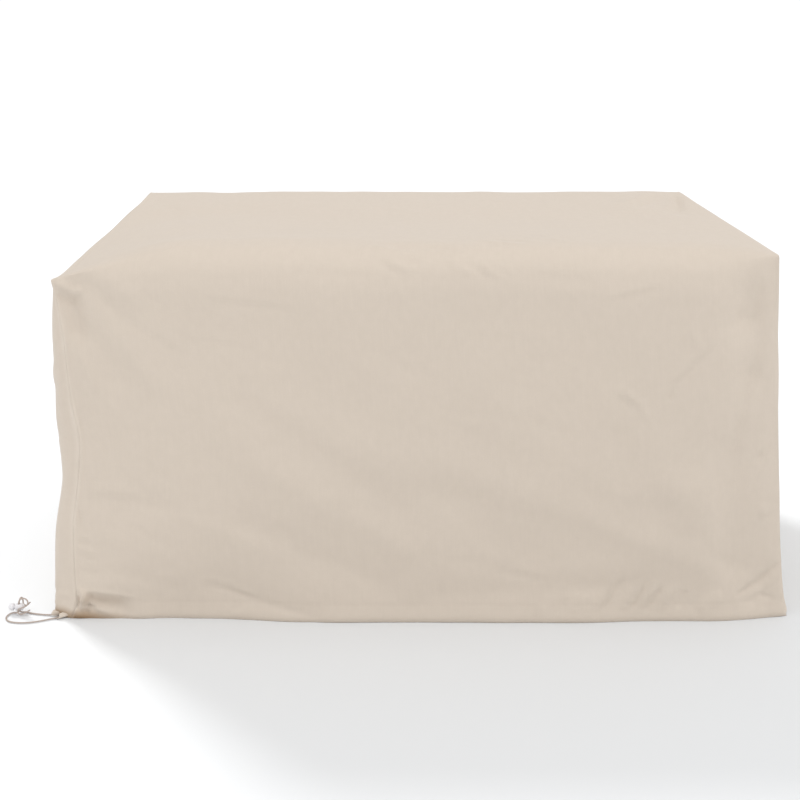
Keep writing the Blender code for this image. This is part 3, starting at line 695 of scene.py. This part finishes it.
# faint creases strewn over the faces, in millimetres
faint = {
    "leanSpread": 22,        # degrees
    "reach": (30, 110),      # half their length
    "bend": 6,
    "height": (0.35, 0.9),   # up or down
    "width": (7, 17),
    # how many, the lowest and highest place, lean (degrees), seed
    "faces": {
        "front": (90, (-680, 80), (700, 700), -24, 3),
        "top": (26, (-660, -250), (660, 360), -12, 5),
        "back": (44, (-680, 80), (680, 740), -75, 8),
        "left": (30, (-360, 60), (380, 720), -80, 11),
        "right": (30, (-360, 60), (380, 720), -80, 14),
    },
}


# One face's faint creases: each has a random middle, two ends at a random reach along a random
# lean, and a small bend.
def faintCreases(count, low, high, lean, seed):
    random = np.random.default_rng(seed)
    lines = []
    for number in range(count):
        middle = random.uniform(low, high)
        angle = math.radians(random.normal(lean, faint["leanSpread"]))
        reach = random.uniform(*faint["reach"]) * np.array([math.cos(angle), math.sin(angle)])
        bend = random.normal(0, faint["bend"], 2)
        tall = random.choice([-1, 1]) * random.uniform(*faint["height"])
        width = random.uniform(*faint["width"])
        lines.append(([middle - reach, middle + bend, middle + reach], width, tall))
    return lines


strewn = {face: faintCreases(*settings) for face, settings in faint["faces"].items()}

# the cloth's own slackness, a few long waves: k along x, y and z, phase, height (mm)
slackWaves = [
    (9, 4, 16, 0.4, 0.9),
    (-13, 7, 21, 1.9, 0.6),
    (24, 11, 9, 4.1, 0.5),
    (31, -14, 27, 2.6, 0.35),
    (-41, 19, 33, 5.2, 0.25),
    (57, 23, -38, 0.9, 0.18),
]


# Slackness: the sum of height x sin(k . p + phase) over the waves.
def slackHeights(points):
    height = np.zeros(len(points))
    for kx, ky, kz, phase, tall in slackWaves:
        height += tall * millimetre * np.sin(points @ np.array([kx, ky, kz]) + phase)
    return height


hem = {
    "turnedUp": 0.038,       # the stitched top of the drawcord channel
    "groove": 0.0004,
    "grooveWidth": 0.0036,
    "roll": 0.0026,
    "rollMiddle": 0.011,
    "rollWidth": 0.016,
    "under": 0.0024,         # how far the edge turns in
    "underWidth": 0.005,
}


# The hem's section: a soft roll over the drawcord, a shallow groove where the turning is
# stitched down, and an edge that turns under, each height x exp(-(distance / width)^2).
def hemHeights(fromFloor):
    roll = hem["roll"] * np.exp(-((fromFloor - hem["rollMiddle"]) / hem["rollWidth"]) ** 2)
    groove = hem["groove"] * np.exp(-((fromFloor - hem["turnedUp"]) / hem["grooveWidth"]) ** 2)
    under = hem["under"] * np.exp(-(fromFloor / hem["underWidth"]) ** 2)
    return roll - groove - under


# The direction in which a seam's ridge stands: halfway between the body panel's outward
# direction at that seam and the side panel's.
def seamOutward(side, at):
    edge = np.full_like(at, 0.0 if side == "left" else 1.0)
    sideways = np.array([-1.0 if side == "left" else 1.0, 0.0, 0.0])
    outward = outwardNormals(bodySurface, edge, at) + sideways
    return outward / np.linalg.norm(outward, axis=-1, keepdims=True)


# Folds and creases together, which die away near a seam; there both panels meet on one ridge,
# height x exp(-(distance / width)^2) along the seam's own direction.
def drapedPoints(surface, u, v, edgeDistance, fromFloor, faces, seamDirection):
    points = surface(u, v)
    outward = outwardNormals(surface, u, v)
    broad = broadHeights(points, outward, faces) * softStep(edgeDistance, *cloth["broadEdge"])
    fine = creaseHeights(points, outward, faces) + slackHeights(points) + hemHeights(fromFloor)
    fine *= softStep(edgeDistance, *cloth["creaseEdge"])
    ridge = cloth["seamRidge"] * np.exp(-(edgeDistance / cloth["seamWidth"]) ** 2)
    raised = points + outward * (broad + fine)[:, None] + seamDirection * ridge[:, None]
    return raised - (0, 0, floorToTop)


# Places from 0 to the end with their own spacing in each stretch: (up to, spacing) pairs.
def spacedPlaces(stretches):
    found, start = [0.0], 0.0
    for end, spacing in stretches:
        count = max(1, round((end - start) / spacing))
        found.extend(start + (end - start) * np.arange(1, count + 1) / count)
        start = end
    return np.array(found)


# the cloth's finish
clothLook = {
    "constants": {"Specular IOR Level": 0.40, "Sheen Weight": 0.10, "Sheen Roughness": 0.5},
    "warpPitch": 0.0013,
    "weftPitch": 0.0016,
    "thread": (0.632, 0.548, 0.464, 1),  # plain thread, and its thick and thin slubs
    "slub": (0.744, 0.654, 0.557, 1),
    # waves a metre along the panel's width and run, detail, roughness
    "noises": {
        "slub": ((430.0, 9.0, 1.0), 2.0, 0.5),
        "slubAcross": ((14.0, 380.0, 1.0), 2.0, 0.5),
        "grain": ((520.0, 430.0, 1.0), 2.0, 0.6),
        "patch": ((5.0, 7.0, 1.0), 2.0, 0.5),
        "mottle": ((62.0, 44.0, 1.0), 3.0, 0.62),
        "cockle": ((30.0, 23.0, 1.0), 2.0, 0.55),
    },
    # what is mixed over the slubs, how much of it, its colour
    "tints": [
        ("grain", 0.90, (0.575, 0.498, 0.418, 1)),
        ("slubAcross", 0.30, (0.644, 0.560, 0.480, 1)),
        ("patch", 0.25, (0.704, 0.608, 0.520, 1)),
        ("mottle", 0.80, (0.590, 0.510, 0.428, 1)),
        ("weave", 0.10, (0.53, 0.455, 0.375, 1)),
    ],
    "seamHighlight": (0.82, 0.74, 0.65, 1),    # painted highlight along the seams
    "seamHighlightShare": 0.30,
    "paintedShade": (0.25, 0.135, 0.045, 1),   # painted brown shade where the gathered hem turns under, in the hollow over it and in the mouths
    "paintedShadeShare": 0.94,
    "roughness": 0.62,
    "roughnessAdded": 0.12,
    "reliefs": {"weave": 0.4, "grain": 0.3, "slub": 0.2, "slubAcross": 0.1, "cockle": 2.2},
    "relief": (0.00022, 0.5),            # height in metres, strength
}


# Woven cloth: the weave is sin(2 pi u / warp pitch) x sin(2 pi v / weft pitch), slubs run between
# two colours, the tints are mixed over them, and the tone attribute adds a painted highlight and a painted
# brown shade.
def makeClothMaterial():
    look = clothLook
    graph = Graph("coated_cloth", look["constants"])
    uv = graph.node("UVMap", {"uv_map": "cloth"})
    warp = graph.maths("SINE", graph.part(uv, 0) * (2 * math.pi / look["warpPitch"]))
    weft = graph.maths("SINE", graph.part(uv, 1) * (2 * math.pi / look["weftPitch"]))
    layers = {name: graph.noise(uv, *settings) for name, settings in look["noises"].items()}
    layers["weave"] = warp * weft * 0.5 + 0.5
    colour = graph.mix(layers["slub"], look["thread"], look["slub"])
    for name, share, tint in look["tints"]:
        colour = graph.mix(layers[name] * share, colour, tint)
    tone = graph.node("Attribute", {"attribute_name": "tone"}, output=2)
    # painted highlight along the seams and on the mouths' rims
    highlightAmount = graph.maths("MAXIMUM", tone) * look["seamHighlightShare"]
    # painted brown shade under the gathered hem, in the hollow over it and inside the mouths
    shadeAmount = graph.maths("MAXIMUM", 0 - tone) * look["paintedShadeShare"]
    colour = graph.mix(highlightAmount, colour, look["seamHighlight"])
    colour = graph.mix(shadeAmount, colour, look["paintedShade"])
    rough = look["roughness"] + layers["slub"] * look["roughnessAdded"]
    relief = sum(layers[name] * share for name, share in look["reliefs"].items())
    return graph.finish(colour, rough, graph.bump(relief, *look["relief"]))


clothMaterial = makeClothMaterial()


# where a highlight or a brown shade is painted on the cloth
clothTone = {
    "seams": 0.66,           # how much painted highlight the seams get
    "seamWaves": [(0.22, 31, 0.6), (0.12, 83, 2.0)],      # as uneven as these: height, k, phase
    "frontY": -0.3,          # what lies forward of this is the front
    "leftSeam": 0.35,        # how much of that shows at the foot of the left front seam
    "leftSeamAdded": 0.65,   # what is added higher up
    "leftSeamRise": (0.07, 0.20),        # and the heights between
    "otherSeams": 0.45,      # how much of it shows at the others
    "cornerX": (-0.745, -0.555),         # the hem's gathered left corner fades between these
    "cornerY": (-0.404, -0.350),
    "hemShadeHeight": 0.007,    # how high the painted shade under the hem reaches, and what is added at the corner
    "hemShadeAdded": 0.023,
    "hollow": 0.20,          # painted brown shade in the hollow over the gathers, its line, width and fading
    "hollowLine": [(-0.704, 0.042), (-0.640, 0.038)],
    "hollowWidth": 0.013,
    "hollowFade": 0.5,
}


# How much painted highlight (to 1) or painted brown shade (to -1) the cloth gets at a point: a
# highlight by a bell across the seam, times 1 + sines along it, and shade by soft steps where
# the hem's gathered left corner turns under and by a bell along the hollow over it.
def clothTones(points, edgeDistance, alongSeam, fromFloor):
    look = clothTone
    x, y, height = points[:, 0], points[:, 1], points[:, 2] + floorToTop
    front = y < look["frontY"]
    seam = np.exp(-(edgeDistance / cloth["seamWidth"]) ** 2)
    waves = [tall * np.sin(alongSeam * k + phase) for tall, k, phase in look["seamWaves"]]
    leftFront = look["leftSeam"] + look["leftSeamAdded"] * softStep(height, *look["leftSeamRise"])
    shown = np.where((x < 0) & front, leftFront, look["otherSeams"])
    corner = (1 - softStep(x, *look["cornerX"])) * (1 - softStep(y, *look["cornerY"]))
    # painted shade where the gathered hem turns under at the left corner
    hemShade = corner * (1 - softStep(fromFloor, 0.0, look["hemShadeHeight"] + look["hemShadeAdded"] * corner))
    distance, share = nearLine(np.stack([x, height], axis=1), np.array(look["hollowLine"]))
    # painted shade along the hollow over the gathers
    hollow = look["hollow"] * np.exp(-(distance / look["hollowWidth"]) ** 2)
    hollow *= front * (1 - look["hollowFade"] * share)
    # painted highlight at the seams, less the painted shade at the hem's corner and in its hollow
    return seam * (look["seams"] + sum(waves)) * shown - hemShade - hollow


# The body panel reaches past its seams by half its thickness, to the outer face of the side
# panels: share + (2 share - 1) x half thickness / width.
def pastSeam(share, length):
    return share + (2 * share - 1) * (cloth["thickness"] / 2) / length


# The body panel in metres across and along its run, with its points closer at the seams, the
# hem and the roll: each stretch is (where it ends, spacing).
def makeBodyPanel():
    columns = spacedPlaces([
        (0.012, 0.0015), (0.10, 0.0034), (0.26, 0.0058), (1.24, 0.0090), (1.475, 0.0056), (1.487, 0.0015),
    ])
    columns = columns / columns[-1]
    rows = spacedPlaces([
        (0.006, 0.002), (0.070, 0.0032), (frontCorner - 0.12, 0.0083), (frontCorner + 0.09, 0.0068),
        (backCorner - 0.05, 0.0205), (backCorner + 0.07, 0.0125), (runLength - 0.05, 0.042),
        (runLength, 0.008),
    ])
    v, u = np.meshgrid(rows, columns, indexing="ij")
    u, v = u.ravel(), v.ravel()
    width = along("rightX", v) - along("leftX", v)
    edgeDistance = np.minimum(u, 1 - u) * width
    fromFloor = np.minimum(v, runLength - v)
    seamDirection = np.where((u < 0.5)[:, None], seamOutward("left", v), seamOutward("right", v))
    points = drapedPoints(bodySurface, pastSeam(u, width), v, edgeDistance, fromFloor,
                          ("front", "top", "back"), seamDirection)
    shape = (len(rows), len(columns))
    uv = np.stack([(u - 0.5) * width, v], axis=-1)
    panel = gridObject("body_panel_cloth", points.reshape(*shape, 3), uv.reshape(*shape, 2), clothMaterial,
                       tones=clothTones(points, edgeDistance, v, fromFloor))
    thicken(panel, cloth["thickness"])
    print("body panel:", shape, "points")
    return panel


# A side panel in shares of its depth and height, spaced as above. Its nearest seam gives the
# ridge's direction.
def makeSidePanel(side):
    depth, tall = sidePanel["depth"], sidePanel["tall"]
    columns = spacedPlaces([(0.010, 0.0016), (0.12, 0.0055), (depth - 0.010, 0.0090), (depth, 0.0020)])
    columns = columns / depth
    rows = spacedPlaces([(0.006, 0.002), (0.060, 0.0035), (0.800, 0.0090), (tall, 0.0025)]) / tall
    t, q = np.meshgrid(rows, columns, indexing="ij")
    q, t = q.ravel(), t.ravel()
    toSeams = np.stack([q * depth, (1 - q) * depth, (1 - t) * tall])
    edgeDistance = toSeams.min(0)
    seamPlaces = np.stack([t * frontCorner, runLength + t * (backCorner - runLength),
                           frontCorner + q * (backCorner - frontCorner)])
    nearest = np.take_along_axis(seamPlaces, toSeams.argmin(0)[None], axis=0)[0]
    turned = side == "left"

    def surface(back, height):
        return sideSurface(side, 1 - back if turned else back, height)

    points = drapedPoints(surface, 1 - q if turned else q, t, edgeDistance, t * tall, (side,),
                          seamOutward(side, nearest))
    shape = (len(rows), len(columns))
    uv = np.stack([q * depth, t * tall], axis=-1)
    name = "side_panel_" + side + "_cloth"
    panel = gridObject(name, points.reshape(*shape, 3), uv.reshape(*shape, 2), clothMaterial, flip=turned,
                       tones=clothTones(points, edgeDistance, nearest, t * tall))
    thicken(panel, cloth["thickness"])
    print(side, "side panel:", shape, "points")
    return panel


# the two mouths of the hem's channel that the strands come out of: how far each reaches in
# and out from where the strand leaves the cloth, its narrow and wide radius, and its phase
mouth = {
    "back": (0.010, 0.011, 0.0028, 0.0084, 0.6),
    "front": (0.022, 0.011, 0.0030, 0.0058, 2.3),
    "thickness": 0.0007,
    "sides": 28,
    "rings": 16,
    "aim": 8,                # the ring of the strand that a mouth points to
    "overFloor": 0.0006,
    # the rim is paler where the coated reverse side turns out, and a highlight is painted on it; the root
    # gets painted shade where the strand goes in
    "paleRimAndHighlight": 0.9,
    "rootShade": 0.7,
}


# A flared collar along the strand's first direction. At angle a it reaches out by
# outside (1 + 0.45 sin(a + phase) + 0.2 sin(3a + 2 phase)), and at share t of that its radius is
# narrow + (wide - narrow) t^2 (1 + 0.3 sin(2a + phase) + 0.15 sin(3a - phase)). It lies flat
# where it meets the floor.
def makeMouth(name, path):
    inside, outside, narrow, wide, phase = mouth[name]
    forward = path[mouth["aim"]] - path[0]
    forward[2] = 0.0
    forward /= np.linalg.norm(forward)
    across, up = np.array([-forward[1], forward[0], 0.0]), np.array([0.0, 0.0, 1.0])
    angles = np.linspace(0, 2 * np.pi, mouth["sides"], endpoint=False)
    t, a = np.meshgrid(np.linspace(0, 1, mouth["rings"]), angles, indexing="ij")
    reach = outside * (1 + 0.45 * np.sin(a + phase) + 0.2 * np.sin(3 * a + 2 * phase))
    spot = (-inside + t * (inside + reach))[..., None] * forward
    uneven = 1 + 0.3 * np.sin(2 * a + phase) + 0.15 * np.sin(3 * a - phase)
    radius = narrow + (wide - narrow) * t ** 2 * uneven
    ring = np.cos(a)[..., None] * across + np.sin(a)[..., None] * up
    points = path[0] + spot + radius[..., None] * ring
    points[..., 2] = np.maximum(points[..., 2], mouth["overFloor"] - floorToTop)
    uv = np.stack([a * narrow, t * (inside + outside)], axis=-1)
    # a paler rim with a painted highlight, and painted shade at the root
    tones = mouth["paleRimAndHighlight"] * t ** 3 - mouth["rootShade"] * (1 - t)
    collar = gridObject("channel_mouth_" + name, points, uv, clothMaterial, wrap=True, flip=True,
                        tones=tones.ravel())
    thicken(collar, mouth["thickness"])
    return collar


bodyPanel = makeBodyPanel()
leftPanel = makeSidePanel("left")
rightPanel = makeSidePanel("right")
mouths = [makeMouth("back", backPath), makeMouth("front", frontPath)]
print("hem channel: two mouths")


# cord lock: the frame's own solids in moulded plastic
lock = {
    "grainWaves": (900.0, 900.0, 900.0),
    "dull": (0.72, 0.70, 0.72, 1),
    "bright": (0.84, 0.83, 0.85, 1),
    "roughness": 0.24,
    "roughnessAdded": 0.10,
    "relief": (0.00005, 0.3),            # height in metres, strength
}


# Moulded plastic: a fine noise moves its colour, roughness and relief a little.
def makeLockMaterial():
    graph = Graph("lock_plastic", {"Coat Weight": 0.2})
    grain = graph.noise(graph.node("TexCoord", output=3), lock["grainWaves"])
    colour = graph.mix(grain, lock["dull"], lock["bright"])
    rough = lock["roughness"] + grain * lock["roughnessAdded"]
    return graph.finish(colour, rough, graph.bump(grain, *lock["relief"]))


lockMaterial = makeLockMaterial()
for nodeName in ("cord_lock_barrel", "cord_lock_plunger"):
    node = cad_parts[nodeName]
    node.data.materials.clear()
    node.data.materials.append(lockMaterial)
print("cord lock: moulded plastic")


ground = {
    "colour": (0.716, 0.729, 0.742, 1),
    "roughness": 0.9,
    "reach": 14.0,
    "gap": 0.0006,           # below the hem
}


# A square, level floor.
def makeFloor():
    constants = {"Base Color": ground["colour"], "Roughness": ground["roughness"]}
    ends = np.array([-ground["reach"], ground["reach"]])
    x, y = np.meshgrid(ends, ends)
    corners = np.stack([x, y, np.full_like(x, -floorToTop - ground["gap"])], axis=-1)
    floor = gridObject("floor", corners, corners[..., :2], Graph("pale_floor", constants).material)
    return floor


# distant soft lamps: where each stands, its strength and how wide it is (degrees)
light = {
    "allRound": 0.835,
    "backdrop": 1.05,        # what the camera alone sees behind the cover
    "lamps": {
        "high": ((0.0, -0.62, 0.78), 0.10, 40),
        "overhead": ((0.0, -0.25, 0.97), 0.64, 60),
        "left": ((-0.85, -0.30, 0.45), 0.18, 40),
        "right": ((0.85, -0.30, 0.45), 0.44, 40),
        "rear_left": ((-0.49, 0.59, 0.643), 1.80, 13),      # casts the long shadow on the floor
    },
    "floorOnly": "rear_left",
}


# An even white world with its own backdrop, and one sun for each lamp; the one that casts the
# long shadow lights only the floor.
def makeLights(floor):
    world = bpy.data.worlds.new("studio")
    bpy.context.scene.world = world
    world.use_nodes = True
    tree = world.node_tree
    allRound = tree.nodes["Background"]
    allRound.inputs["Strength"].default_value = light["allRound"]
    backdrop = tree.nodes.new("ShaderNodeBackground")
    backdrop.inputs["Strength"].default_value = light["backdrop"]
    for white in (allRound, backdrop):
        white.inputs["Color"].default_value = (1, 1, 1, 1)
    seen = tree.nodes.new("ShaderNodeLightPath")
    either = tree.nodes.new("ShaderNodeMixShader")
    tree.links.new(seen.outputs["Is Camera Ray"], either.inputs[0])
    tree.links.new(allRound.outputs[0], either.inputs[1])
    tree.links.new(backdrop.outputs[0], either.inputs[2])
    tree.links.new(either.outputs[0], tree.nodes["World Output"].inputs["Surface"])
    lit = bpy.data.collections.new("lit_by_the_shadow_lamp")
    lit.objects.link(floor)
    for name, (place, strength, width) in light["lamps"].items():
        lamp = bpy.data.objects.new(name, bpy.data.lights.new(name, "SUN"))
        bpy.context.scene.collection.objects.link(lamp)
        lamp.location = place
        lamp.rotation_euler = Vector(place).to_track_quat("Z", "Y").to_euler()
        lamp.data.energy = strength
        lamp.data.angle = math.radians(width)
        if name == light["floorOnly"]:
            lamp.light_linking.receiver_collection = lit
    bpy.context.scene.view_settings.view_transform = "Standard"


makeLights(makeFloor())
print("floor and", len(light["lamps"]), "lamps")


# each piece rides on the root, and the frame's nodes that the cloth and the cords stand for are hidden
panels = [(bodyPanel, "body_panel"), (leftPanel, "side_panel_left"), (rightPanel, "side_panel_right")]
for piece, node in panels:
    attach(piece, "root")
    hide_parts(node)
for collar in mouths:
    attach(collar, "root")
lockPieces = [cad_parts["cord_lock_barrel"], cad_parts["cord_lock_plunger"]]
for piece, node, path, length, pieces in (
    (backCord, "drawcord_back", backPath, backLength, []),
    (frontCord, "drawcord_front", frontPath, frontLength, lockPieces),
):
    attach(piece, "root")
    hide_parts(node)
